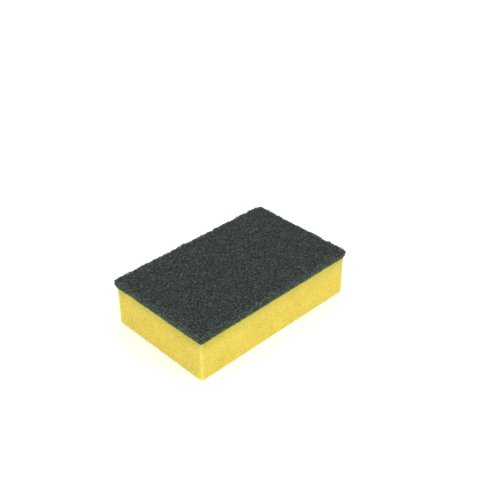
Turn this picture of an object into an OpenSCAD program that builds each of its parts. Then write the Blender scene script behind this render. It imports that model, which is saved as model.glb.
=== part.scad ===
// Sponge scourer: a block of open-celled foam with a scouring pad of non-woven
// fibre web bonded on its top face. It lies on its foam face.
// Millimetres, +Z up. The origin is the centre of the foam's underside,
// +X runs along the length and +Y across the width.

/* [Foam block] */
// Length of the foam
foam_l = 145; // [110:1:180]
// Width of the foam
foam_w = 90; // [60:1:110]
// Thickness of the foam
foam_h = 32; // [20:0.5:45]
// Radius of the four standing corners
corner_r = 1.6; // [1.2:0.1:5]
// Rounding of the foam's lower edges
edge_r = 0.8; // [0.3:0.1:1]

/* [Open cells] */
// Distance between neighbouring large cells on a cut face
cell_gap = 9; // [8:0.5:20]
// Radius of the smallest large cell
cell_r_min = 0.6; // [0.4:0.05:0.8]
// Radius of the biggest large cell
cell_r_max = 1.2; // [0.9:0.05:1.5]
// Depth of a cell, as a ratio of its radius
cell_depth = 1.2; // [0.6:0.1:1.8]
// How far the foam's rise stretches a cell, as a ratio
cell_stretch = 1.3; // [1:0.05:1.5]
// Picks the places and sizes of the cells
cell_seed = 7; // [1:1:99]

/* [Scouring pad] */
// Thickness of the pad over its highest strands
pad_t = 6; // [3:0.5:10]
// How far the pad's cut edge stands out past the foam
pad_overhang = 1; // [0.5:0.1:2]
// How far each corner of the pad is worn in
corner_wear = 0.9; // [0.2:0.1:2]
// Depth of the deepest notch in the torn edge
notch_depth = 0.8; // [0.3:0.1:1.5]

/* [Fibre web] */
// Distance between neighbouring points of the web's face
web_gap = 2.4; // [2.4:0.1:6]
// Height of the highest strand over the deepest pit between strands
web_relief = 1.4; // [0.4:0.1:2]
// Length of a strand that shows on the face
strand_l = 12; // [5:1:30]
// Distance between the fibre ends that stand out of the edge
fringe_gap = 7; // [5:0.5:15]
// Thickness of a fibre end
fringe_d = 1; // [0.6:0.1:1.5]
// Picks the places of the strands, notches and fibre ends
web_seed = 21; // [1:1:99]

/* [Hidden] */

foam_yellow = [0.93, 0.82, 0.35];
web_green = [0.24, 0.28, 0.26];

// The pad seats on the foam's top face and is cut to these sides
pad_seat = foam_h;
pad_l = foam_l + 2 * pad_overhang;
pad_w = foam_w + 2 * pad_overhang;
// Length of the pad's side k, from the front one round
function side(k) = k % 2 == 0 ? pad_l : pad_w;
// Columns and rows of the points on the web's face
cols = steps(pad_l, web_gap);
rows = steps(pad_w, web_gap);
col_gap = pad_l / cols;
row_gap = pad_w / rows;
// Points that one strand takes up
strand_run = steps(strand_l, web_gap);

corner_sides = 24;       // sides of a full circle round a foam corner
cell_sides = 6;          // sides of an open cell's mouth
cell_lip = 0.05;         // height of a cell's full mouth over the cut face
web_shift = 0.3;         // how far a point of the face strays, as a ratio of the gap
web_levels = [0, 0.45];  // heights where the torn edge turns, as ratios of the pad's
fringe_tilt = 20;        // steepest tilt of a fibre end out of the level
fringe_turn = 40;        // widest turn of a fibre end from square to the edge
trim = 5;                // how far a cutting shape reaches past what it cuts

// What draws on the repeatable numbers: the strands that run along the columns, the
// rows and both diagonals, then everything else that varies over the pad
along_cols = 0;
along_rows = 1;
along_rise = 2;
along_fall = 3;
for_stray_x = 4;
for_stray_y = 5;
for_end_place = 6;
for_end_height = 7;
for_end_tilt = 8;
for_end_turn = 9;
for_notch = 10;  // and one more for each level of the torn edge

// Number of steps of about the given gap along a run, at least one
function steps(run, gap) = max(1, round(run / gap));

// A repeatable number from 0 to 1 for one use at a place a, b. The steps are primes,
// so that neighbouring places read far from each other
draws = rands(0, 1, 9973, web_seed);
use_step = 1907;
a_step = 613;
b_step = 71;
function draw(use, a, b) = draws[abs(use * use_step + a * a_step + b * b_step) % len(draws)];

// A size between two limits for a number from 0 to 1
function between(low, high, t) = low + (high - low) * t;

// How high the strand lies that passes a place on one line of the tangle
function strand_top(along, line, place) =
    draw(along, line, floor(place / strand_run + draw(along, line, 0)) + 1);

// Height of the web's face over its deepest pit, from 0 to 1: that of the highest
// strand that passes here
function web_top(i, j) =
    let (tops = [
        strand_top(along_cols, i, j),
        strand_top(along_rows, j, i),
        strand_top(along_rise, i - j, j),
        strand_top(along_fall, i + j, j)
    ])
    pow(max(tops), len(tops));

// Points round the face's edge, from its front left corner
rim = [
    each [for (i = [0:cols - 1]) [i, 0]],
    each [for (j = [0:rows - 1]) [cols, j]],
    each [for (i = [cols:-1:1]) [i, rows]],
    each [for (j = [rows:-1:1]) [0, j]]
];

// One coordinate of a point of the face: on the edge it is drawn in by the depth of
// its notch, and inside the face it strays from its column or row
function face_coordinate(at, last, gap, notch, stray) =
    (at - last / 2) * gap
    + (at == 0 ? notch : at == last ? -notch : between(-web_shift, web_shift, stray) * gap);

// Place of a point of the face, seen from above, at one level of the torn edge
function face_point(i, j, level) =
    let (worn = (i == 0 || i == cols) && (j == 0 || j == rows) ? corner_wear : 0)
    let (notch = worn + notch_depth * draw(for_notch + level, i, j))
    [
        face_coordinate(i, cols, col_gap, notch, draw(for_stray_x, i, j)),
        face_coordinate(j, rows, row_gap, notch, draw(for_stray_y, i, j))
    ];

// Foam

// One corner of the block: a post with its lower edge rounded
module foam_corner() {
    rotate_extrude($fn = corner_sides)
        hull() {
            translate([0, edge_r])
                square([corner_r, foam_h - edge_r]);
            intersection() {
                translate([corner_r - edge_r, edge_r])
                    circle(edge_r, $fn = corner_sides);
                square([corner_r, foam_h]);
            }
            square([corner_r - edge_r, edge_r]);
        }
}

module foam_body() {
    hull()
        for (x = [-1, 1], y = [-1, 1])
            translate([x * (foam_l / 2 - corner_r), y * (foam_w / 2 - corner_r), 0])
                foam_corner();
}

// An open cell sunk in a face that looks up: a six-sided mouth over a pointed pit
module open_cell(r, spin) {
    depth = r * cell_depth;
    hull() {
        translate([0, 0, cell_lip])
            rotate(spin)
                cylinder(h = trim, r = r, $fn = cell_sides);
        translate([0, 0, -depth])
            cylinder(h = depth, r1 = 0, r2 = r / 2, $fn = cell_sides);
    }
}

// Cells scattered over a cut face that is u long and v high and looks up
module face_cells(u, v, stretch, seed) {
    margin = corner_r + cell_r_max * cell_stretch;
    nu = steps(u - 2 * margin, cell_gap);
    nv = steps(v - 2 * margin, cell_gap);
    du = (u - 2 * margin) / nu;
    dv = (v - 2 * margin) / nv;
    stray = rands(-0.5, 0.5, 2 * nu * nv, seed);
    radius = rands(cell_r_min, cell_r_max, nu * nv, seed + 1);
    spin = rands(0, 360, nu * nv, seed + 2);
    for (i = [0:nu - 1], j = [0:nv - 1]) {
        k = i * nv + j;
        translate([
            margin - u / 2 + (i + 0.5 + stray[2 * k]) * du,
            margin - v / 2 + (j + 0.5 + stray[2 * k + 1]) * dv
        ])
            scale([1, stretch, 1])
                open_cell(radius[k], spin[k]);
    }
}

module foam_block() {
    color(foam_yellow)
        difference() {
            foam_body();
            for (k = [0:3]) {
                across = k % 2 == 0 ? foam_l : foam_w;
                out = (k % 2 == 0 ? foam_w : foam_l) / 2;
                rotate(90 * k)
                    translate([0, -out, foam_h / 2])
                        rotate([90, 0, 0])
                            face_cells(across, foam_h, cell_stretch, cell_seed + 10 * k);
            }
            rotate([180, 0, 0])
                face_cells(foam_l, foam_w, 1, cell_seed + 40);
        }
}

// Pad

// The matted web: a face of crossing strands over a torn edge and a flat underside
module web() {
    low_rim_z = pad_seat + pad_t * web_levels[0];
    mid_rim_z = pad_seat + pad_t * web_levels[1];
    points = concat(
        [for (i = [0:cols], j = [0:rows])
            [each face_point(i, j, 2), pad_seat + pad_t - web_relief * (1 - web_top(i, j))]],
        [for (p = rim) [each face_point(p.x, p.y, 1), mid_rim_z]],
        [for (p = rim) [each face_point(p.x, p.y, 0), low_rim_z]]
    );
    function on_face(i, j) = i * (rows + 1) + j;
    n = len(rim);
    first = (cols + 1) * (rows + 1);
    top_rim = [for (p = rim) on_face(p.x, p.y)];
    mid_rim = [for (k = [0:n - 1]) first + k];
    low_rim = [for (k = [0:n - 1]) first + n + k];
    // Each square of the face is split along the diagonal that lies higher
    face = [
        for (i = [0:cols - 1], j = [0:rows - 1])
            let (a = on_face(i, j), b = on_face(i + 1, j))
            let (c = on_face(i + 1, j + 1), d = on_face(i, j + 1))
            each points[a].z + points[c].z > points[b].z + points[d].z
                ? [[a, c, b], [a, d, c]]
                : [[a, d, b], [b, d, c]]
    ];
    edge = [
        for (band = [[top_rim, mid_rim], [mid_rim, low_rim]], k = [0:n - 1])
            let (upper = band[0], lower = band[1], m = (k + 1) % n)
            each [[upper[k], upper[m], lower[k]], [upper[m], lower[m], lower[k]]]
    ];
    polyhedron(points, concat(face, edge, [low_rim]));
}

// A cut fibre end that lies across the pad's edge, half in the web and half out
module fibre_end() {
    hull()
        for (y = [-1, 1])
            translate([0, y * (notch_depth + fringe_d), 0])
                sphere(d = fringe_d, $fn = 4);
}

// Fibre ends along one edge of the pad that faces -Y, clear of its worn corners
module edge_fringe(side_l, out, k) {
    run = side_l - 2 * (corner_wear + notch_depth + fringe_d);
    n = steps(run, fringe_gap);
    for (i = [0:n - 1])
        translate([
            (i + draw(for_end_place, i, k)) * run / n - run / 2,
            -out,
            pad_seat + between(fringe_d, pad_t - web_relief - fringe_d, draw(for_end_height, i, k))
        ])
            rotate([
                between(-fringe_tilt, fringe_tilt, draw(for_end_tilt, i, k)),
                0,
                between(-fringe_turn, fringe_turn, draw(for_end_turn, i, k))
            ])
                fibre_end();
}

module scouring_pad() {
    color(web_green)
        intersection() {
            union() {
                web();
                for (k = [0:3])
                    rotate(90 * k)
                        edge_fringe(side(k), side(k + 1) / 2, k);
            }
            translate([-pad_l / 2, -pad_w / 2, pad_seat])
                cube([pad_l, pad_w, pad_t + trim]);
        }
}

foam_block();
scouring_pad();
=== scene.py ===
# Sponge scourer: a block of yellow open-celled foam with a scouring pad of dark
# fibre web bonded on its top. Metres, +Z up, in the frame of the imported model.
import math
from functools import partial

import bmesh
import bpy
from mathutils import Euler, Matrix, Vector, noise


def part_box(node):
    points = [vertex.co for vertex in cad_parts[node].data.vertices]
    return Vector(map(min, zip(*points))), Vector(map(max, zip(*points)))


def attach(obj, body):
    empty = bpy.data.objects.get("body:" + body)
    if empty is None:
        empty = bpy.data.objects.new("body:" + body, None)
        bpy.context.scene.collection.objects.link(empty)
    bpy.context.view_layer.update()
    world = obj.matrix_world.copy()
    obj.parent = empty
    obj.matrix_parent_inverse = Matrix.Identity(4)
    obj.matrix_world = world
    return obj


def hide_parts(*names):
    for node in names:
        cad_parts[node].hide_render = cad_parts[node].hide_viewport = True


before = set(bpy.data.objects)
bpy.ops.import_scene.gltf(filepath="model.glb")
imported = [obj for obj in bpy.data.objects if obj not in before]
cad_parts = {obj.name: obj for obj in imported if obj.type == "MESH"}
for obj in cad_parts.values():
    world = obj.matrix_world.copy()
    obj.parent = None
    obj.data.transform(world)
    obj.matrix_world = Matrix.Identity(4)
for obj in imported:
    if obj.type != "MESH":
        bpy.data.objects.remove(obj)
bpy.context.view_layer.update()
scene = bpy.context.scene
scene.view_settings.view_transform = "Standard"
mm = 0.001
print("frame loaded:", ", ".join(sorted(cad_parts)))


# Camera

cameraPlan = {
    "place": (-0.3470, -0.3684, 0.3942),
    "heading": 45.31,  # degrees round from +X
    "tilt": 34.11,     # degrees below the horizon
    "roll": 0.09,      # degrees
    "lens": 60.82,     # mm on a 36 mm sensor
}


def makeCamera(plan):
    data = bpy.data.cameras.new("camera")
    data.sensor_width = 36
    data.lens = plan["lens"]
    camera = bpy.data.objects.new("camera", data)
    turn = Euler((math.radians(90 - plan["tilt"]), 0, math.radians(plan["heading"] - 90)))
    roll = Matrix.Rotation(math.radians(plan["roll"]), 3, "Z")
    camera.matrix_world = Matrix.Translation(plan["place"]) @ (turn.to_matrix() @ roll).to_4x4()
    scene.collection.objects.link(camera)
    scene.camera = camera


makeCamera(cameraPlan)
print("camera set")


# Node trees: the few calls that all of them are made with

def addNode(tree, kind, inputs=None, **settings):
    # inputs are values or sockets to link, by the socket's name, number or identifier
    node = tree.nodes.new(kind)
    for name, value in settings.items():
        setattr(node, name, value)
    for key, value in (inputs or {}).items():
        socket = findSocket(node.inputs, key)
        if isinstance(value, bpy.types.NodeSocket):
            tree.links.new(value, socket)
        else:
            socket.default_value = value
    return node


def findSocket(sockets, key):
    if isinstance(key, int):
        return sockets[key]
    for socket in sockets:
        if socket.identifier == key:
            return socket
    return sockets[key]


def calc(tree, operation, *terms):
    return addNode(tree, "ShaderNodeMath", dict(enumerate(terms)), operation=operation).outputs[0]


def vectorCalc(tree, operation, *terms):
    # the factor of a scaling is the node's fourth input
    places = (0, 3) if operation == "SCALE" else range(3)
    node = addNode(tree, "ShaderNodeVectorMath", dict(zip(places, terms)), operation=operation)
    return node.outputs["Value" if operation == "LENGTH" else "Vector"]


def remap(tree, value, low, high, newLow, newHigh):
    node = addNode(tree, "ShaderNodeMapRange", {
        "Value": value, "From Min": low, "From Max": high, "To Min": newLow, "To Max": newHigh,
    })
    return node.outputs["Result"]


def split(tree, vector):
    return addNode(tree, "ShaderNodeSeparateXYZ", {0: vector}).outputs


def join(tree, x, y, z):
    return addNode(tree, "ShaderNodeCombineXYZ", {0: x, 1: y, 2: z}).outputs[0]


def makeGroup(name, kind, inputs, outputs):
    # a group whose inputs are (name, socket type, starting value)
    tree = bpy.data.node_groups.new(name, kind)
    for label, socketType, value in inputs:
        socket = tree.interface.new_socket(label, in_out="INPUT", socket_type=socketType)
        if value is not None:
            socket.default_value = value
    for label, socketType in outputs:
        tree.interface.new_socket(label, in_out="OUTPUT", socket_type=socketType)
    source = tree.nodes.new("NodeGroupInput")
    target = tree.nodes.new("NodeGroupOutput")
    return tree, source.outputs, target.inputs


def useGroup(tree, group, inputs):
    kind = {"ShaderNodeTree": "ShaderNodeGroup", "GeometryNodeTree": "GeometryNodeGroup"}[group.bl_idname]
    return addNode(tree, kind, inputs, node_tree=group).outputs


# Shader groups that the finishes share

def objectPlace(tree):
    return addNode(tree, "ShaderNodeTexCoord").outputs["Object"]


def makePatchesGroup():
    # soft patches of a given size, as a factor between Low and High
    tree, given, result = makeGroup("patches", "ShaderNodeTree", [
        ("Size", "NodeSocketFloat", 0.01), ("Detail", "NodeSocketFloat", 2.0),
        ("Low", "NodeSocketFloat", 0.0), ("High", "NodeSocketFloat", 1.0),
    ], [("Factor", "NodeSocketFloat")])
    grain = addNode(tree, "ShaderNodeTexNoise", {
        "Vector": objectPlace(tree), "Scale": calc(tree, "DIVIDE", 1.0, given["Size"]),
        "Detail": given["Detail"],
    })
    # nearly all of the noise lies between 0.3 and 0.7
    factor = remap(tree, grain.outputs["Fac"], 0.3, 0.7, given["Low"], given["High"])
    tree.links.new(factor, result["Factor"])
    return tree


def makePoresGroup():
    # round pores of a given size: Pore is 1 in them, Shade is a number of each pore's own
    tree, given, result = makeGroup("pores", "ShaderNodeTree", [
        ("Size", "NodeSocketFloat", 0.001), ("Wall", "NodeSocketFloat", 0.3),
    ], [("Pore", "NodeSocketFloat"), ("Shade", "NodeSocketFloat")])
    cell = addNode(tree, "ShaderNodeTexVoronoi", {
        "Vector": objectPlace(tree), "Scale": calc(tree, "DIVIDE", 1.0, given["Size"]),
    }, feature="F1")
    # a point lies at most about 0.65 of the size from the middle of its cell
    reach = calc(tree, "SUBTRACT", 0.65, given["Wall"])
    pore = remap(tree, cell.outputs["Distance"], calc(tree, "MULTIPLY", reach, 0.4), reach, 1.0, 0.0)
    tree.links.new(pore, result["Pore"])
    shade = addNode(tree, "ShaderNodeSeparateColor", {"Color": cell.outputs["Color"]})
    tree.links.new(shade.outputs["Red"], result["Shade"])
    return tree


patches = makePatchesGroup()
pores = makePoresGroup()


def usePatches(tree, size, low, high, detail=2.0):
    given = {"Size": size, "Detail": detail, "Low": low, "High": high}
    return useGroup(tree, patches, given)["Factor"]


def usePores(tree, size, wall):
    return useGroup(tree, pores, {"Size": size, "Wall": wall})


def mixColour(tree, factor, first, second, blend="MIX"):
    node = addNode(tree, "ShaderNodeMix", {
        "Factor_Float": factor, "A_Color": first, "B_Color": second,
    }, data_type="RGBA", blend_type=blend)
    return findSocket(node.outputs, "Result_Color")


def newMaterial(name):
    material = bpy.data.materials.new(name)
    material.use_nodes = True
    return material, material.node_tree, material.node_tree.nodes["Principled BSDF"]


def addBump(tree, shader, height, strength):
    bump = addNode(tree, "ShaderNodeBump", {"Height": height, "Strength": strength, "Distance": 1.0})
    tree.links.new(bump.outputs["Normal"], shader.inputs["Normal"])


# Foam finish

foamFinish = {
    "colour": (0.895, 0.712, 0.118, 1),     # linear
    "poreShadeColour": (0.62, 0.42, 0.045, 1),   # painted shade in the pores
    "edgeHighlightColour": (0.97, 0.86, 0.18, 1),    # painted highlight along the standing edges, for the light through the foam there
    "edgeHighlightReach": 4.0 * mm,
    "padShadeColour": (0.72, 0.83, 0.93, 1),    # painted shade under the pad's overhang, times the colour
    "padShadeReach": 12 * mm,
    "patch": 14 * mm,                       # broad patches, and the finer mottle in them
    "patchShade": (0.95, 1.03),
    "mottle": 2.2 * mm,
    "mottleShade": (0.97, 1.03),
    "pores": (1.3 * mm, 0.5 * mm),          # coarse and fine, and so in the next three
    "poreWall": (0.2, 0.15),
    "poreDepth": (0.30 * mm, 0.14 * mm),
    "poreShade": (0.65, 0.5),               # how much of the painted pore shade
    "openShare": 0.45,                      # of the coarse pores
    "faintest": 0.25,                       # of the fine pores, where 1 is the deepest
    "bump": 0.8,
    "roughness": 0.88,
    "shine": 0.25,
    "glow": 0.3,                            # how much light goes through the skin
    "glowDepth": 1.5 * mm,
    "glowColours": (1.0, 0.75, 0.18),       # how far each colour goes, as a share of that
}


def nearEdge(tree, reach):
    # 1 on the foam's standing edges, fading to 0 within the reach of them: where the highlight is painted
    half = Vector(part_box("foam_block")[1])
    place = split(tree, objectPlace(tree))
    fromX = calc(tree, "SUBTRACT", half.x, calc(tree, "ABSOLUTE", place["X"]))
    fromY = calc(tree, "SUBTRACT", half.y, calc(tree, "ABSOLUTE", place["Y"]))
    away = calc(tree, "MAXIMUM", fromX, fromY)
    near = remap(tree, away, 0.0, reach, 1.0, 0.0)
    return calc(tree, "MULTIPLY", near, near)


def underPadShade(tree, reach):
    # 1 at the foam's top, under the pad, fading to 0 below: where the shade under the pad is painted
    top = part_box("foam_block")[1][2]
    near = remap(tree, split(tree, objectPlace(tree))["Z"], top - reach, top, 0.0, 1.0)
    return calc(tree, "MULTIPLY", near, near)


def makeFoamMaterial(plan):
    material, tree, shader = newMaterial("openCelledFoam")
    coarse, fine = (usePores(tree, size, wall) for size, wall in zip(plan["pores"], plan["poreWall"]))
    isOpen = calc(tree, "LESS_THAN", coarse["Shade"], plan["openShare"])
    openPores = calc(tree, "MULTIPLY", coarse["Pore"], isOpen)
    depth = remap(tree, fine["Shade"], 0.0, 1.0, plan["faintest"], 1.0)
    finePores = calc(tree, "MULTIPLY", fine["Pore"], depth)
    # painted shade: the open and the fine pores are darkened
    dark = calc(tree, "MAXIMUM", calc(tree, "MULTIPLY", openPores, plan["poreShade"][0]),
                calc(tree, "MULTIPLY", finePores, plan["poreShade"][1]))
    colour = mixColour(tree, dark, plan["colour"], plan["poreShadeColour"])
    # painted highlight along the standing edges
    colour = mixColour(tree, nearEdge(tree, plan["edgeHighlightReach"]), colour, plan["edgeHighlightColour"])
    shade = calc(tree, "MULTIPLY", usePatches(tree, plan["patch"], *plan["patchShade"]),
                 usePatches(tree, plan["mottle"], *plan["mottleShade"], 1.0))
    colour = mixColour(tree, 1.0, colour, shade, "MULTIPLY")
    # painted shade under the pad: darker towards the foam's top
    colour = mixColour(tree, underPadShade(tree, plan["padShadeReach"]), colour, plan["padShadeColour"], "MULTIPLY")
    tree.links.new(colour, shader.inputs["Base Color"])
    height = calc(tree, "ADD", calc(tree, "MULTIPLY", openPores, -plan["poreDepth"][0]),
                  calc(tree, "MULTIPLY", finePores, -plan["poreDepth"][1]))
    addBump(tree, shader, height, plan["bump"])
    shader.inputs["Roughness"].default_value = plan["roughness"]
    shader.inputs["Specular IOR Level"].default_value = plan["shine"]
    shader.inputs["Subsurface Weight"].default_value = plan["glow"]
    shader.inputs["Subsurface Radius"].default_value = plan["glowColours"]
    shader.inputs["Subsurface Scale"].default_value = plan["glowDepth"]
    return material


# Web finish: one for the matted body of the pad and one for the fibres over it

webFinish = {
    # painted shade: the matted body is darker than the fibres, for the shade deep in the web
    "bodyShadeColour": (0.009, 0.012, 0.011, 1),
    "fibreDark": (0.022, 0.030, 0.026, 1),
    "fibrePale": (0.139, 0.178, 0.154, 1),
    "leastTone": 0.35,                       # of a fibre's own tone, where 1 is the palest
    "grain": 0.9 * mm,
    "grainTone": (-0.35, 1.25),              # past 0 and 1, so that some of it is wholly dark or pale
    "clump": 3.2 * mm,
    "clumpShade": (0.88, 1.12),
    "pitShadeTuftLight": (0.30, 1.62),               # times the colour: painted shade in the pits and painted light on the tufts
    "grit": (0.23, 0.265, 0.25, 1),          # specks of bonded grit
    "gritSize": 0.55 * mm,
    "gritWall": 0.2,
    "gritFrom": 0.80,                        # specks whose own number is under this show none
    "gritCore": 0.6,                         # how far in from a speck's rim its grit begins
    "gritMix": 0.6,
    "gritDepth": 0.08 * mm,
    "cool": 9 * mm,                          # stretches that lean to blue-green
    "coolTint": (0.80, 1.0, 1.0, 1),
    "coolMix": 0.35,
    "rimHighlightTint": (1.42, 1.62, 1.52, 1),        # times the colour: painted highlight on the cut sides, for light on the fibre ends there
    "rimReach": (0.8 * mm, 3.4 * mm),        # all of it up to here from the outline, none past there
    "footColour": (0.145, 0.155, 0.040, 1),  # at the foot of the sides, over the foam
    "footPatch": 1.6 * mm,
    "footMix": (0.35, 1.0),                  # how much of it, from patch to patch
    "footReach": 6.0 * mm,
    "roughPatch": 2 * mm,
    "roughness": (0.5, 0.74),
    "bump": 0.5,
}


def makeSidesGroup():
    # where a point lies on the pad: Rim is 1 at the cut sides, Foot is 1 at their lower edge
    tree, given, result = makeGroup("padSides", "ShaderNodeTree", [
        ("Rim From", "NodeSocketFloat", 0.001), ("Rim To", "NodeSocketFloat", 0.003),
        ("Foot To", "NodeSocketFloat", 0.003),
    ], [("Rim", "NodeSocketFloat"), ("Foot", "NodeSocketFloat")])
    low, high = (Vector(corner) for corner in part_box("scouring_pad"))
    place = split(tree, objectPlace(tree))
    fromX = calc(tree, "SUBTRACT", high.x, calc(tree, "ABSOLUTE", place["X"]))
    fromY = calc(tree, "SUBTRACT", high.y, calc(tree, "ABSOLUTE", place["Y"]))
    inwards = calc(tree, "MINIMUM", fromX, fromY)
    rim = remap(tree, inwards, given["Rim From"], given["Rim To"], 1.0, 0.0)
    tree.links.new(rim, result["Rim"])
    foot = remap(tree, calc(tree, "SUBTRACT", place["Z"], low.z), 0.0, given["Foot To"], 1.0, 0.0)
    tree.links.new(calc(tree, "MULTIPLY", foot, rim), result["Foot"])
    return tree


padSides = makeSidesGroup()


def makeWebMaterial(name, plan, onFibres):
    material, tree, shader = newMaterial(name)
    grain = usePatches(tree, plan["grain"], *plan["grainTone"], 1.0)
    if onFibres:
        own = addNode(tree, "ShaderNodeAttribute", attribute_name="tone").outputs["Fac"]
        tone = calc(tree, "MULTIPLY", remap(tree, own, 0.0, 1.0, plan["leastTone"], 1.0), grain)
        colour = mixColour(tree, tone, plan["fibreDark"], plan["fibrePale"])
    else:
        # the body takes the painted shade of the web's depths
        colour = mixColour(tree, grain, plan["bodyShadeColour"], plan["fibreDark"])
    speck = usePores(tree, plan["gritSize"], plan["gritWall"])
    gritHere = calc(tree, "MULTIPLY", calc(tree, "GREATER_THAN", speck["Shade"], plan["gritFrom"]),
                    calc(tree, "GREATER_THAN", speck["Pore"], plan["gritCore"]))
    colour = mixColour(tree, calc(tree, "MULTIPLY", gritHere, plan["gritMix"]), colour, plan["grit"])
    # painted shade in the pits and painted light on the tufts
    tuft = addNode(tree, "ShaderNodeAttribute", attribute_name="tuft").outputs["Fac"]
    shade = calc(tree, "MULTIPLY", remap(tree, tuft, 0.0, 1.0, *plan["pitShadeTuftLight"]),
                 usePatches(tree, plan["clump"], *plan["clumpShade"]))
    colour = mixColour(tree, 1.0, colour, shade, "MULTIPLY")
    cool = usePatches(tree, plan["cool"], 0.0, plan["coolMix"])
    colour = mixColour(tree, cool, colour, plan["coolTint"], "MULTIPLY")
    sides = useGroup(tree, padSides, {
        "Rim From": plan["rimReach"][0], "Rim To": plan["rimReach"][1], "Foot To": plan["footReach"],
    })
    # painted highlight on the cut sides
    colour = mixColour(tree, sides["Rim"], colour, plan["rimHighlightTint"], "MULTIPLY")
    foot = calc(tree, "MULTIPLY", sides["Foot"], usePatches(tree, plan["footPatch"], *plan["footMix"]))
    colour = mixColour(tree, foot, colour, plan["footColour"])
    tree.links.new(colour, shader.inputs["Base Color"])
    rough = usePatches(tree, plan["roughPatch"], *plan["roughness"])
    tree.links.new(rough, shader.inputs["Roughness"])
    addBump(tree, shader, calc(tree, "MULTIPLY", speck["Pore"], -plan["gritDepth"]), plan["bump"])
    return material


foamMaterial = makeFoamMaterial(foamFinish)
webBodyMaterial = makeWebMaterial("mattedWeb", webFinish, False)
fibreMaterial = makeWebMaterial("webFibre", webFinish, True)
print("finishes made")


# Geometry Nodes: steps that the trees share, and how a tree is put on a piece

fullTurn = (6.28, 6.28, 6.28)  # radians about each axis


def randomValue(tree, seed, low, high, number, kind="FLOAT"):
    # a draw for each point, and a number for each use, so that no two uses draw alike
    tail = {"FLOAT": "_001", "FLOAT_VECTOR": ""}[kind]
    node = addNode(tree, "FunctionNodeRandomValue", {
        "Min" + tail: low, "Max" + tail: high, "Seed": calc(tree, "ADD", seed, number),
    }, data_type=kind)
    return findSocket(node.outputs, "Value" + tail)


def toRotation(tree, turn):
    return addNode(tree, "FunctionNodeEulerToRotation", {0: turn}).outputs[0]


def move(tree, geometry, offset):
    return addNode(tree, "GeometryNodeSetPosition", {"Geometry": geometry, "Offset": offset}).outputs[0]


def store(tree, geometry, name, value, domain):
    return addNode(tree, "GeometryNodeStoreNamedAttribute", {
        "Geometry": geometry, "Name": name, "Value": value,
    }, data_type="FLOAT", domain=domain).outputs[0]


def realize(tree, geometry):
    return addNode(tree, "GeometryNodeRealizeInstances", {0: geometry}).outputs[0]


def smoothed(tree, geometry):
    node = addNode(tree, "GeometryNodeSetShadeSmooth", {"Geometry": geometry, "Shade Smooth": True})
    return node.outputs[0]


def scatter(tree, given, chosen, drawn):
    # points over the chosen faces, each moved along the normal by a draw of its own
    seeds = addNode(tree, "GeometryNodeDistributePointsOnFaces", {
        "Mesh": given["Geometry"], "Selection": chosen, "Density": given["Density"], "Seed": given["Seed"],
    }, distribute_method="RANDOM").outputs
    level = drawn(given["Deepest"], given["Highest"], 1)
    return move(tree, seeds["Points"], vectorCalc(tree, "SCALE", seeds["Normal"], level))


def endTree(tree, geometry, given, result):
    # every tree ends in plain meshes with their material on
    finished = addNode(tree, "GeometryNodeSetMaterial", {
        "Geometry": realize(tree, geometry), "Material": given["Material"],
    })
    tree.links.new(finished.outputs[0], result["Geometry"])


def applyTree(piece, tree, settings, material):
    # gives the mesh that the tree makes of the piece, which itself stays as it is
    modifier = piece.modifiers.new(tree.name, "NODES")
    modifier.node_group = tree
    given = dict(settings, Material=material)
    for item in tree.interface.items_tree:
        if item.item_type == "SOCKET" and item.in_out == "INPUT" and item.name in given:
            modifier[item.identifier] = given[item.name]
    depsgraph = bpy.context.evaluated_depsgraph_get()
    mesh = bpy.data.meshes.new_from_object(
        piece.evaluated_get(depsgraph), preserve_all_data_layers=True, depsgraph=depsgraph)
    piece.modifiers.remove(modifier)
    return mesh


def newPiece(name, mesh):
    piece = bpy.data.objects.new(name, mesh)
    scene.collection.objects.link(piece)
    return piece


def countTriangles(mesh):
    mesh.calc_loop_triangles()
    return len(mesh.loop_triangles)


# Box shells: a closed box with a grid on its faces and rounded edges

def spreadAlong(low, high, gap, lowRound, highRound):
    # places along one side, closer together where the edges turn
    turns = [1 - math.tan(math.radians(angle)) for angle in (45, 30, 15)]
    start = [low + lowRound * turn for turn in turns] if lowRound else []
    end = [high - highRound * turn for turn in reversed(turns)] if highRound else []
    first, last = low + lowRound, high - highRound
    steps = max(1, round((last - first) / gap))
    return start + [first + (last - first) * k / steps for k in range(steps + 1)] + end


def boxShell(name, low, high, gap, sideRound, lowRound, highRound, plainFace):
    # plainFace is "top" or "bottom": that face is one flat polygon
    rounds = [(sideRound, sideRound), (sideRound, sideRound), (lowRound, highRound)]
    lines = [spreadAlong(low[a], high[a], gap, *rounds[a]) for a in range(3)]
    shell = bmesh.new()
    made = {}

    def place(key):
        if key not in made:
            point = Vector(lines[a][key[a]] for a in range(3))
            made[key] = shell.verts.new(roundOff(point, low, high, rounds))
        return made[key]

    last = [len(line) - 1 for line in lines]
    for a in range(3):
        b, c = (a + 1) % 3, (a + 2) % 3
        for level in (0, last[a]):
            if a == 2 and (level == 0) == (plainFace == "bottom"):
                continue
            for i in range(last[b]):
                for j in range(last[c]):
                    corners = []
                    for di, dj in ((0, 0), (1, 0), (1, 1), (0, 1)):
                        key = [0, 0, 0]
                        key[a], key[b], key[c] = level, i + di, j + dj
                        corners.append(place(tuple(key)))
                    shell.faces.new(corners if level else reversed(corners))
    openEdges = [edge for edge in shell.edges if edge.is_boundary]
    bmesh.ops.holes_fill(shell, edges=openEdges, sides=0)
    bmesh.ops.recalc_face_normals(shell, faces=shell.faces)
    mesh = bpy.data.meshes.new(name)
    shell.to_mesh(mesh)
    shell.free()
    return mesh


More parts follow.
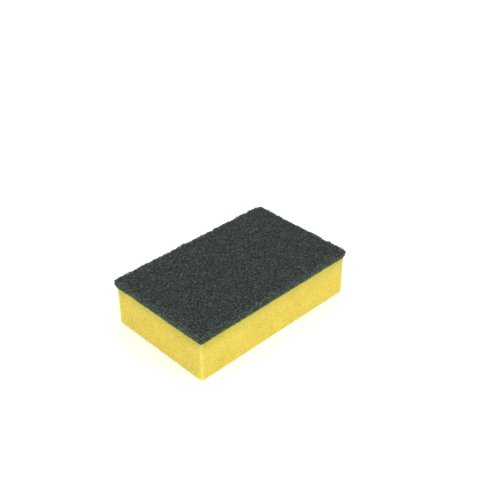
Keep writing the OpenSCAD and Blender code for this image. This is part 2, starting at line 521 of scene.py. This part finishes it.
def roundOff(point, low, high, rounds):
    # moves a point of a sharp box on to the rounded one
    past, inner = [], []
    for a in range(3):
        lowRound, highRound = rounds[a]
        inner.append(min(max(point[a], low[a] + lowRound), high[a] - highRound))
        reach = lowRound if point[a] < inner[a] else highRound
        past.append((point[a] - inner[a]) / reach if reach else 0)
    length = math.sqrt(sum(p * p for p in past))
    if length == 0:
        return point
    shrink = max(abs(p) for p in past) / length
    return Vector(inner[a] + (point[a] - inner[a]) * shrink for a in range(3))


# Foam body

foamPlan = {
    "gap": 1.6 * mm,          # between the points of the faces
    "sideRound": 1.5 * mm,
    "lowRound": 0.9 * mm,
    "wave": 0.14 * mm,        # how far a cut face strays from flat
    "waveLength": 22 * mm,
    "waveSeed": 4,
    "bondStrip": 1.2 * mm,    # no cell has its middle this close under the bond
    "fill": 1.0,
}
foamCells = {  # radii and the least distance between two, for the large and the small open cells
    "Large Least": 0.28 * mm, "Large Most": 0.8 * mm, "Large Spacing": 3.6 * mm,
    "Small Least": 0.14 * mm, "Small Most": 0.42 * mm, "Small Spacing": 1.9 * mm,
    "Drift": 12 * mm,         # size of the stretches where they lie closer or wider apart
    "Crisp Angle": 0.6,       # in radians, from which an edge is shaded sharp
    "Seed": 5,
}


def makeCellsTree():
    # cuts open cells into every face that doesn't look up
    tree, given, result = makeGroup("openCells", "GeometryNodeTree", [
        ("Geometry", "NodeSocketGeometry", None),
        ("Large Least", "NodeSocketFloat", 0.0003), ("Large Most", "NodeSocketFloat", 0.0006),
        ("Large Spacing", "NodeSocketFloat", 0.005),
        ("Small Least", "NodeSocketFloat", 0.0002), ("Small Most", "NodeSocketFloat", 0.0003),
        ("Small Spacing", "NodeSocketFloat", 0.003), ("Drift", "NodeSocketFloat", 0.01),
        ("Top", "NodeSocketFloat", 0.03), ("Crisp Angle", "NodeSocketFloat", 0.5),
        ("Seed", "NodeSocketInt", 1), ("Material", "NodeSocketMaterial", None),
    ], [("Geometry", "NodeSocketGeometry")])
    facing = split(tree, addNode(tree, "GeometryNodeInputNormal").outputs[0])["Z"]
    notUp = calc(tree, "LESS_THAN", facing, 0.5)
    height = split(tree, addNode(tree, "GeometryNodeInputPosition").outputs[0])["Z"]
    nearTop = calc(tree, "GREATER_THAN", height, given["Top"])
    ball = addNode(tree, "GeometryNodeMeshUVSphere", {"Segments": 6, "Rings": 4, "Radius": 1.0})

    def cutCells(cut, kind, number):
        seed = calc(tree, "ADD", given["Seed"], number)
        drift = addNode(tree, "ShaderNodeTexNoise", {
            "Scale": calc(tree, "DIVIDE", 1.0, given["Drift"]), "Detail": 2.0, "W": number,
        }, noise_dimensions="4D").outputs["Fac"]
        points = addNode(tree, "GeometryNodeDistributePointsOnFaces", {
            "Mesh": given["Geometry"], "Selection": notUp, "Distance Min": given[kind + " Spacing"],
            "Density Max": 1e7, "Density Factor": remap(tree, drift, 0.35, 0.65, 0.15, 0.75), "Seed": seed,
        }, distribute_method="POISSON").outputs["Points"]
        kept = addNode(tree, "GeometryNodeDeleteGeometry", {"Geometry": points, "Selection": nearTop})
        # few are large
        share = calc(tree, "POWER", randomValue(tree, seed, 0.0, 1.0, 0), 2.5)
        size = remap(tree, share, 0.0, 1.0, given[kind + " Least"], given[kind + " Most"])
        turn = randomValue(tree, seed, (0, 0, 0), fullTurn, 0, "FLOAT_VECTOR")
        placed = addNode(tree, "GeometryNodeInstanceOnPoints", {
            "Points": kept.outputs[0], "Instance": ball.outputs["Mesh"], "Rotation": toRotation(tree, turn),
            "Scale": vectorCalc(tree, "SCALE", (1, 1, 1), size),
        }).outputs[0]
        return addNode(tree, "GeometryNodeMeshBoolean", {
            "Mesh 1": cut, "Mesh 2": realize(tree, placed),
        }, operation="DIFFERENCE", solver="MANIFOLD").outputs["Mesh"]

    cut = cutCells(cutCells(given["Geometry"], "Large", 0), "Small", 6)
    angle = addNode(tree, "GeometryNodeInputMeshEdgeAngle").outputs["Unsigned Angle"]
    crisp = addNode(tree, "GeometryNodeSetShadeSmooth", {
        "Geometry": smoothed(tree, cut), "Shade Smooth": False,
        "Selection": calc(tree, "GREATER_THAN", angle, given["Crisp Angle"]),
    }, domain="EDGE")
    endTree(tree, crisp.outputs[0], given, result)
    return tree


def makeFoam(plan):
    low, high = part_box("foam_block")
    mesh = boxShell("foamShell", low, high, plan["gap"], plan["sideRound"], plan["lowRound"], 0, "top")
    noise.seed_set(plan["waveSeed"])
    for vertex in mesh.vertices:
        if 0 < vertex.co.z < high[2]:
            stray = noise.noise_vector(vertex.co / plan["waveLength"]) * plan["wave"]
            vertex.co.x += stray.x
            vertex.co.y += stray.y
    piece = newPiece("foamBody", mesh)
    settings = dict(foamCells, Top=high[2] - plan["bondStrip"])
    piece.data = applyTree(piece, makeCellsTree(), settings, foamMaterial)
    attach(piece, "root")
    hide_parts("foam_block")
    print("foam made:", countTriangles(piece.data), "triangles")


makeFoam(foamPlan)


# Scouring pad: the matted body, then the loose fibres and the grit over it

webPlan = {
    "gap": 0.46 * mm,           # between the points of the faces
    "rise": 0.1 * mm,           # how far the matted body passes the nominal top
    "spread": 0.3 * mm,         # and the nominal outline
    "sideRound": 2.4 * mm,
    "topRound": 0.4 * mm,
    "footRound": 2.2 * mm,
    "underCut": 0.85 * mm,      # how far the body's sides fall back at their foot
    "fibreUnderCut": 2.2 * mm,  # and the outline that the fibres are cut to
    "underCutReach": 3.0 * mm,
    "relief": 0.35 * mm,
    "clump": 1.5 * mm,          # size of the tufts and pits
    "pitDepth": 1.0 * mm,
    "proud": 1.0 * mm,          # how far the longest fibre ends may pass the nominal outline
    "lowestFibre": 0.4 * mm,    # over the bond
    "highestFibre": 0.65 * mm,  # over the nominal top
    "corner": 4.0 * mm,         # radius of the outline's corners
    "sharpCorner": 1.8 * mm,    # and of the one at -X, -Y
    "wave": 1.5 * mm,           # how unevenly the sheet was cut
    "waveLength": 8 * mm,
    "fill": 0.8,
}
upperFibres = {
    "Density": 22e4, "Deepest": -0.3 * mm, "Highest": 0.8 * mm, "Shortest": 4 * mm, "Longest": 9 * mm,
    "Thickness": 0.34 * mm, "Curl": 1.1 * mm, "Curl Length": 2.6 * mm, "Lean": 0.12, "Points": 8,
    "Ragged": 0.75 * mm, "Ragged Scale": 450.0, "Side Only": False, "Seed": 3,
}
lowerFibres = dict(upperFibres, Seed=8, Deepest=-0.7 * mm, Highest=0.3 * mm)
edgeFibres = dict(upperFibres, Seed=13, Density=115e4, Deepest=-0.6 * mm, Highest=0.5 * mm,
                  Shortest=2 * mm, Longest=5 * mm, Lean=0.6)
edgeFibres["Side Only"] = True
gritPlan = {
    "Density": 38e4, "Smallest": 0.14 * mm, "Biggest": 0.42 * mm, "Deepest": 0.1 * mm, "Highest": 0.6 * mm,
    "Seed": 29,
}


def makeTuftsTree():
    # how the web stands in tufts: Tuft is 1 on top of one and 0 between them, Pit is 1 in a pit
    tree, given, result = makeGroup("webTufts", "GeometryNodeTree", [
        ("Clump", "NodeSocketFloat", 0.002),
    ], [("Tuft", "NodeSocketFloat"), ("Pit", "NodeSocketFloat")])
    place = addNode(tree, "GeometryNodeInputPosition").outputs[0]
    field = addNode(tree, "ShaderNodeTexNoise", {
        "Vector": vectorCalc(tree, "MULTIPLY", place, (1.0, 1.0, 0.4)),
        "Scale": calc(tree, "DIVIDE", 1.0, given["Clump"]), "Detail": 1.5,
    }).outputs["Fac"]
    tuft = remap(tree, field, 0.36, 0.64, 0.0, 1.0)
    tree.links.new(tuft, result["Tuft"])
    tree.links.new(remap(tree, tuft, 0.0, 0.5, 1.0, 0.0), result["Pit"])
    return tree


def makeWaveTree():
    # how far the cut outline strays sideways at a place
    tree, given, result = makeGroup("cutWave", "GeometryNodeTree", [
        ("Wave", "NodeSocketFloat", 0.0005), ("Wave Length", "NodeSocketFloat", 0.01),
    ], [("Offset", "NodeSocketVector")])
    place = addNode(tree, "GeometryNodeInputPosition").outputs[0]
    field = addNode(tree, "ShaderNodeTexNoise", {
        "Vector": vectorCalc(tree, "MULTIPLY", place, (1.0, 1.0, 0.3)),
        "Scale": calc(tree, "DIVIDE", 1.0, given["Wave Length"]), "Detail": 3.0, "Roughness": 0.65,
    }).outputs["Color"]
    field = vectorCalc(tree, "SUBTRACT", field, (0.5, 0.5, 0.5))
    field = vectorCalc(tree, "MULTIPLY", field, (2.0, 2.0, 0.0))
    tree.links.new(vectorCalc(tree, "SCALE", field, given["Wave"]), result["Offset"])
    return tree


def makeReliefTree(tufts, wave):
    # roughens a shell into a matted body; its flat underside stays
    tree, given, result = makeGroup("mattedRelief", "GeometryNodeTree", [
        ("Geometry", "NodeSocketGeometry", None), ("Relief", "NodeSocketFloat", 0.0005),
        ("Clump", "NodeSocketFloat", 0.002), ("Pit Depth", "NodeSocketFloat", 0.001),
        ("Wave", "NodeSocketFloat", 0.0005), ("Wave Length", "NodeSocketFloat", 0.01),
        ("Foot Z", "NodeSocketFloat", 0.03), ("Under Cut", "NodeSocketVector", (0.01, 0.01, 0)),
        ("Under Cut Reach", "NodeSocketFloat", 0.003), ("Material", "NodeSocketMaterial", None),
    ], [("Geometry", "NodeSocketGeometry")])
    place = addNode(tree, "GeometryNodeInputPosition").outputs[0]
    normal = addNode(tree, "GeometryNodeInputNormal").outputs[0]
    web = useGroup(tree, tufts, {"Clump": given["Clump"]})
    marked = store(tree, given["Geometry"], "tuft", web["Tuft"], "POINT")

    # outwards by a broad and a knotted relief, and inwards in the pits
    broad = addNode(tree, "ShaderNodeTexNoise", {
        "Vector": place, "Scale": calc(tree, "DIVIDE", 1.0, given["Clump"]), "Detail": 3.0,
        "Roughness": 0.65,
    }).outputs["Fac"]
    knots = addNode(tree, "ShaderNodeTexVoronoi", {
        "Vector": place, "Scale": calc(tree, "DIVIDE", 1.3, given["Clump"]),
    }, feature="F1").outputs["Distance"]
    rise = calc(tree, "ADD", remap(tree, broad, 0.25, 0.75, -1.0, 1.0),
                remap(tree, knots, 0.0, 0.8, 0.7, -0.7))
    amount = calc(tree, "SUBTRACT", calc(tree, "MULTIPLY", rise, given["Relief"]),
                  calc(tree, "MULTIPLY", web["Pit"], given["Pit Depth"]))
    notUnder = calc(tree, "GREATER_THAN", split(tree, normal)["Z"], -0.5)
    outwards = vectorCalc(tree, "SCALE", normal, calc(tree, "MULTIPLY", amount, notUnder))

    # the outline strays half as far at the foot, and the sides fall back there
    overFoot = calc(tree, "SUBTRACT", split(tree, place)["Z"], given["Foot Z"])
    stray = useGroup(tree, wave, {"Wave": given["Wave"], "Wave Length": given["Wave Length"]})["Offset"]
    stray = vectorCalc(tree, "SCALE", stray, remap(tree, overFoot, 0.0, 1.0 * mm, 0.5, 1.0))
    back = vectorCalc(tree, "MULTIPLY", place, given["Under Cut"])
    back = vectorCalc(tree, "SCALE", back, remap(tree, overFoot, 0.0, given["Under Cut Reach"], -1.0, 0.0))
    offset = vectorCalc(tree, "ADD", vectorCalc(tree, "ADD", outwards, stray), back)
    endTree(tree, smoothed(tree, move(tree, marked, offset)), given, result)
    return tree


def makeFibreTree(tufts, wave):
    # curled fibres scattered over the matted body and cut off at the pad's outline
    tree, given, result = makeGroup("tangledFibres", "GeometryNodeTree", [
        ("Geometry", "NodeSocketGeometry", None), ("Density", "NodeSocketFloat", 1e5),
        ("Side Only", "NodeSocketBool", False), ("Deepest", "NodeSocketFloat", 0.0),
        ("Highest", "NodeSocketFloat", 0.001), ("Shortest", "NodeSocketFloat", 0.005),
        ("Longest", "NodeSocketFloat", 0.01), ("Thickness", "NodeSocketFloat", 0.0002),
        ("Curl", "NodeSocketFloat", 0.001), ("Curl Length", "NodeSocketFloat", 0.004),
        ("Lean", "NodeSocketFloat", 0.1), ("Points", "NodeSocketInt", 8),
        ("Ragged", "NodeSocketFloat", 0.0005), ("Ragged Scale", "NodeSocketFloat", 400.0),
        ("Outline", "NodeSocketVector", (0.07, 0.05, 0)), ("Corner", "NodeSocketFloat", 0.004),
        ("Sharp Corner", "NodeSocketFloat", 0.002), ("Lowest Z", "NodeSocketFloat", 0.03),
        ("Highest Z", "NodeSocketFloat", 0.04), ("Under Cut", "NodeSocketFloat", 0.002),
        ("Under Cut Reach", "NodeSocketFloat", 0.003), ("Clump", "NodeSocketFloat", 0.002),
        ("Pit Depth", "NodeSocketFloat", 0.001), ("Wave", "NodeSocketFloat", 0.0005),
        ("Wave Length", "NodeSocketFloat", 0.01), ("Seed", "NodeSocketInt", 1),
        ("Material", "NodeSocketMaterial", None),
    ], [("Geometry", "NodeSocketGeometry")])
    drawn = partial(randomValue, tree, given["Seed"])
    place = addNode(tree, "GeometryNodeInputPosition").outputs[0]
    facing = split(tree, addNode(tree, "GeometryNodeInputNormal").outputs[0])["Z"]
    chosen = addNode(tree, "GeometryNodeSwitch", {
        "Switch": given["Side Only"], "False": calc(tree, "GREATER_THAN", facing, 0.35),
        "True": calc(tree, "LESS_THAN", calc(tree, "ABSOLUTE", facing), 0.6),
    }, input_type="FLOAT").outputs[0]
    line = addNode(tree, "GeometryNodeCurvePrimitiveLine", {"Start": (-0.5, 0, 0), "End": (0.5, 0, 0)})
    line = addNode(tree, "GeometryNodeResampleCurve", {"Curve": line.outputs[0], "Count": given["Points"]})
    lean = drawn(calc(tree, "MULTIPLY", given["Lean"], -1.0), given["Lean"], 2)
    turn = join(tree, 0.0, lean, drawn(0.0, 6.2832, 3))
    length = drawn(given["Shortest"], given["Longest"], 4)
    fibres = addNode(tree, "GeometryNodeInstanceOnPoints", {
        "Points": scatter(tree, given, chosen, drawn), "Instance": line.outputs[0],
        "Rotation": toRotation(tree, turn), "Scale": vectorCalc(tree, "SCALE", (1, 1, 1), length),
    }).outputs[0]
    loose = realize(tree, store(tree, fibres, "tone", drawn(0.0, 1.0, 5), "INSTANCE"))
    stored = addNode(tree, "GeometryNodeInputNamedAttribute", {"Name": "tone"})
    tone = findSocket(stored.outputs, "Attribute")

    # each fibre curls in its own way, less up and down than sideways
    curl = addNode(tree, "ShaderNodeTexNoise", {
        "Vector": place, "W": calc(tree, "MULTIPLY", tone, 900.0),
        "Scale": calc(tree, "DIVIDE", 1.0, given["Curl Length"]), "Detail": 1.0,
    }, noise_dimensions="4D").outputs["Color"]
    curl = vectorCalc(tree, "SUBTRACT", curl, (0.5, 0.5, 0.5))
    curl = vectorCalc(tree, "MULTIPLY", curl, (2.0, 2.0, 0.5))
    curled = move(tree, loose, vectorCalc(tree, "SCALE", curl, given["Curl"]))

    # none rises past the pad's top or drops under its foot, and over the pits they sag
    here = split(tree, place)
    web = useGroup(tree, tufts, {"Clump": given["Clump"]})
    marked = store(tree, curled, "tuft", web["Tuft"], "POINT")
    sag = calc(tree, "MULTIPLY", web["Pit"], given["Pit Depth"])
    ceiling = calc(tree, "SUBTRACT", given["Highest Z"], sag)
    level = calc(tree, "MAXIMUM", calc(tree, "MINIMUM", here["Z"], ceiling), given["Lowest Z"])
    levelled = addNode(tree, "GeometryNodeSetPosition", {
        "Geometry": marked, "Position": join(tree, here["X"], here["Y"], level),
    })

    # what lies past the torn outline is cut off, and so are scraps of one or two points
    torn = addNode(tree, "ShaderNodeTexNoise", {
        "Vector": place, "Scale": given["Ragged Scale"], "Detail": 2.0,
    }).outputs["Fac"]
    torn = calc(tree, "MULTIPLY", remap(tree, torn, 0.3, 0.7, -1.0, 1.0), given["Ragged"])
    overFoot = calc(tree, "SUBTRACT", here["Z"], given["Lowest Z"])
    foot = remap(tree, overFoot, 0.0, given["Under Cut Reach"], given["Under Cut"], 0.0)
    isSharp = calc(tree, "MULTIPLY", calc(tree, "LESS_THAN", here["X"], 0.0),
                   calc(tree, "LESS_THAN", here["Y"], 0.0))
    corner = remap(tree, isSharp, 0.0, 1.0, given["Corner"], given["Sharp Corner"])
    stray = useGroup(tree, wave, {"Wave": given["Wave"], "Wave Length": given["Wave Length"]})["Offset"]
    straight = split(tree, vectorCalc(tree, "ABSOLUTE", vectorCalc(tree, "SUBTRACT", place, stray)))
    size = split(tree, given["Outline"])
    pastX = calc(tree, "SUBTRACT", straight["X"], calc(tree, "SUBTRACT", size["X"], corner))
    pastY = calc(tree, "SUBTRACT", straight["Y"], calc(tree, "SUBTRACT", size["Y"], corner))
    past = join(tree, calc(tree, "MAXIMUM", pastX, 0.0), calc(tree, "MAXIMUM", pastY, 0.0), 0.0)
    away = calc(tree, "ADD", vectorCalc(tree, "LENGTH", past), calc(tree, "ADD", torn, foot))
    cut = addNode(tree, "GeometryNodeDeleteGeometry", {
        "Geometry": levelled.outputs[0], "Selection": calc(tree, "GREATER_THAN", away, corner),
    }, domain="POINT")
    count = addNode(tree, "GeometryNodeSplineLength").outputs["Point Count"]
    cut = addNode(tree, "GeometryNodeDeleteGeometry", {
        "Geometry": cut.outputs[0], "Selection": calc(tree, "LESS_THAN", count, 2.5),
    }, domain="CURVE")

    # a second number of each fibre's own, made of its tone, sets its thickness
    own = calc(tree, "FRACT", calc(tree, "MULTIPLY", tone, 7.3))
    section = addNode(tree, "GeometryNodeCurvePrimitiveCircle", {
        "Resolution": 3, "Radius": calc(tree, "MULTIPLY", given["Thickness"], 0.5),
    })
    tubes = addNode(tree, "GeometryNodeCurveToMesh", {
        "Curve": cut.outputs[0], "Profile Curve": section.outputs[0],
        "Scale": remap(tree, own, 0.0, 1.0, 0.75, 1.3), "Fill Caps": True,
    })
    endTree(tree, smoothed(tree, tubes.outputs[0]), given, result)
    return tree


def makeGritTree(tufts):
    # clots of grit and resin that sit on the fibres, away from the pits
    tree, given, result = makeGroup("gritClots", "GeometryNodeTree", [
        ("Geometry", "NodeSocketGeometry", None), ("Density", "NodeSocketFloat", 1e5),
        ("Smallest", "NodeSocketFloat", 0.0002), ("Biggest", "NodeSocketFloat", 0.0005),
        ("Deepest", "NodeSocketFloat", 0.0), ("Highest", "NodeSocketFloat", 0.0005),
        ("Clump", "NodeSocketFloat", 0.002), ("Seed", "NodeSocketInt", 1),
        ("Material", "NodeSocketMaterial", None),
    ], [("Geometry", "NodeSocketGeometry")])
    drawn = partial(randomValue, tree, given["Seed"])
    facing = split(tree, addNode(tree, "GeometryNodeInputNormal").outputs[0])["Z"]
    web = useGroup(tree, tufts, {"Clump": given["Clump"]})
    chosen = calc(tree, "MULTIPLY", calc(tree, "GREATER_THAN", facing, -0.4),
                  calc(tree, "GREATER_THAN", web["Tuft"], 0.4))
    clot = addNode(tree, "GeometryNodeMeshIcoSphere", {"Radius": 1.0, "Subdivisions": 1})
    turn = drawn((0, 0, 0), fullTurn, 2, "FLOAT_VECTOR")
    shape = drawn((0.7, 0.7, 0.5), (1.3, 1.3, 0.9), 3, "FLOAT_VECTOR")
    placed = addNode(tree, "GeometryNodeInstanceOnPoints", {
        "Points": scatter(tree, given, chosen, drawn), "Instance": clot.outputs["Mesh"],
        "Rotation": toRotation(tree, turn),
        "Scale": vectorCalc(tree, "SCALE", shape, drawn(given["Smallest"], given["Biggest"], 4)),
    }).outputs[0]
    toned = store(tree, placed, "tone", drawn(0.3, 1.0, 5), "INSTANCE")
    marked = store(tree, toned, "tuft", web["Tuft"], "INSTANCE")
    endTree(tree, smoothed(tree, realize(tree, marked)), given, result)
    return tree


def declareWebPiece(piece):
    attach(piece, "root")
    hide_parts("scouring_pad")
    print(piece.name, "made:", countTriangles(piece.data), "triangles")


def makePad(plan):
    low, high = (Vector(corner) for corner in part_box("scouring_pad"))
    spread = Vector((plan["spread"], plan["spread"], 0))
    # the rounded foot would leave the flat underside this far over the foam
    sunk = Vector((0, 0, plan["footRound"] * (1 - math.sqrt(0.5))))
    risen = Vector((0, 0, plan["rise"]))
    shell = boxShell("webShell", low - spread - sunk, high + spread + risen, plan["gap"],
                     plan["sideRound"], plan["footRound"], plan["topRound"], "bottom")
    body = newPiece("webBody", shell)
    tufts, wave = makeTuftsTree(), makeWaveTree()
    common = {
        "Clump": plan["clump"], "Pit Depth": plan["pitDepth"], "Wave": plan["wave"],
        "Wave Length": plan["waveLength"], "Under Cut Reach": plan["underCutReach"],
    }
    settings = dict(common, Relief=plan["relief"])
    settings["Foot Z"] = low.z
    # as shares of a point's place
    settings["Under Cut"] = (plan["underCut"] / high.x, plan["underCut"] / high.y, 0.0)
    body.data = applyTree(body, makeReliefTree(tufts, wave), settings, webBodyMaterial)
    declareWebPiece(body)
    common["Under Cut"] = plan["fibreUnderCut"]
    common["Outline"] = (high.x + plan["proud"], high.y + plan["proud"], 0.0)
    common["Corner"] = plan["corner"]
    common["Sharp Corner"] = plan["sharpCorner"]
    common["Lowest Z"] = low.z + plan["lowestFibre"]
    common["Highest Z"] = high.z + plan["highestFibre"]
    tree = makeFibreTree(tufts, wave)
    plans = {"upperFibres": upperFibres, "lowerFibres": lowerFibres, "edgeFibres": edgeFibres}
    for name, fibres in plans.items():
        declareWebPiece(newPiece(name, applyTree(body, tree, dict(fibres, **common), fibreMaterial)))
    grit = applyTree(body, makeGritTree(tufts), dict(gritPlan, **common), fibreMaterial)
    declareWebPiece(newPiece("webGrit", grit))


makePad(webPlan)


# Floor, world and lamps

stagePlan = {
    "floorSize": 8.0,
    "floorColour": (0.98, 0.98, 0.98, 1),
    "floorRoughness": 0.9,
    "floorLift": 0.22,        # how much plain white the camera sees on top of the lit floor
    "sky": 0.78,
}
lampPlans = {  # where each stands as seen from the sponge, and how wide it is in degrees
    "keyLamp": {"place": (0.35, -0.75, 0.95), "strength": 0.52, "width": 50, "colour": (1.0, 0.99, 0.97)},
    "fillLamp": {"place": (-0.8, -0.35, 0.8), "strength": 0.55, "width": 60, "colour": (0.98, 0.99, 1.0)},
}


def seenDirectly(tree):
    # 1 for what the camera sees, also by way of gloss or glass
    ray = addNode(tree, "ShaderNodeLightPath").outputs
    bent = calc(tree, "MAXIMUM", ray["Is Glossy Ray"], ray["Is Transmission Ray"])
    return calc(tree, "MAXIMUM", ray["Is Camera Ray"], bent)


def makeStage(plan):
    half = plan["floorSize"] / 2
    corners = [(-half, -half, 0), (half, -half, 0), (half, half, 0), (-half, half, 0)]
    mesh = bpy.data.meshes.new("floor")
    mesh.from_pydata(corners, [], [(0, 1, 2, 3)])
    floor = newPiece("floor", mesh)
    material, tree, shader = newMaterial("paleFloor")
    shader.inputs["Base Color"].default_value = plan["floorColour"]
    shader.inputs["Roughness"].default_value = plan["floorRoughness"]
    shader.inputs["Specular IOR Level"].default_value = 0.0
    white = addNode(tree, "ShaderNodeEmission", {
        "Color": (1, 1, 1, 1), "Strength": calc(tree, "MULTIPLY", seenDirectly(tree), plan["floorLift"]),
    })
    lift = addNode(tree, "ShaderNodeAddShader", {0: shader.outputs[0], 1: white.outputs[0]})
    tree.links.new(lift.outputs[0], tree.nodes["Material Output"].inputs["Surface"])
    mesh.materials.append(material)


def makeWorld(plan):
    world = bpy.data.worlds.new("studio")
    world.use_nodes = True
    tree = world.node_tree
    back = tree.nodes["Background"]
    back.inputs["Color"].default_value = (1, 1, 1, 1)
    tree.links.new(remap(tree, seenDirectly(tree), 0.0, 1.0, plan["sky"], 1.0), back.inputs["Strength"])
    scene.world = world


def makeLamps(plans):
    for name, plan in plans.items():
        data = bpy.data.lights.new(name, "SUN")
        data.angle = math.radians(plan["width"])
        data.energy = plan["strength"]
        data.color = plan["colour"]
        lamp = bpy.data.objects.new(name, data)
        lamp.location = plan["place"]
        lamp.rotation_euler = (-Vector(plan["place"])).to_track_quat("-Z", "Y").to_euler()
        scene.collection.objects.link(lamp)


makeStage(stagePlan)
makeWorld(stagePlan)
makeLamps(lampPlans)
print("stage and light made")


print("scene built")
